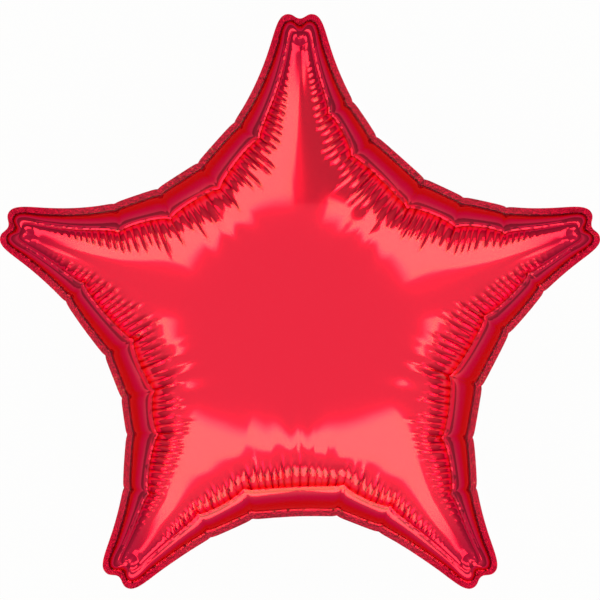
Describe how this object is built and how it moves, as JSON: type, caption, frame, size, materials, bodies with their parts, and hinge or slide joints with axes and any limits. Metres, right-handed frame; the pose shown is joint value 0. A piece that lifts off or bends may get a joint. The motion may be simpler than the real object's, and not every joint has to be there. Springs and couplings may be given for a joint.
{
  "type": "star foil balloon",
  "caption": "Inflated star-shaped foil balloon with rounded points, a welded border and gathered sides, lying on its back.",
  "frame": {"origin": "middle of the star, on the surface that the balloon's back rests on", "axes": "+Z out of the front face, +Y towards the top point of the star, +X to the right seen from the front"},
  "size_m": [0.4404, 0.4215, 0.1567],
  "materials": {
    "red_foil": "bright metallised film, glossy red"
  },
  "bodies": {
    "root": {"foil_envelope": "red_foil"}
  },
  "joints": []
}
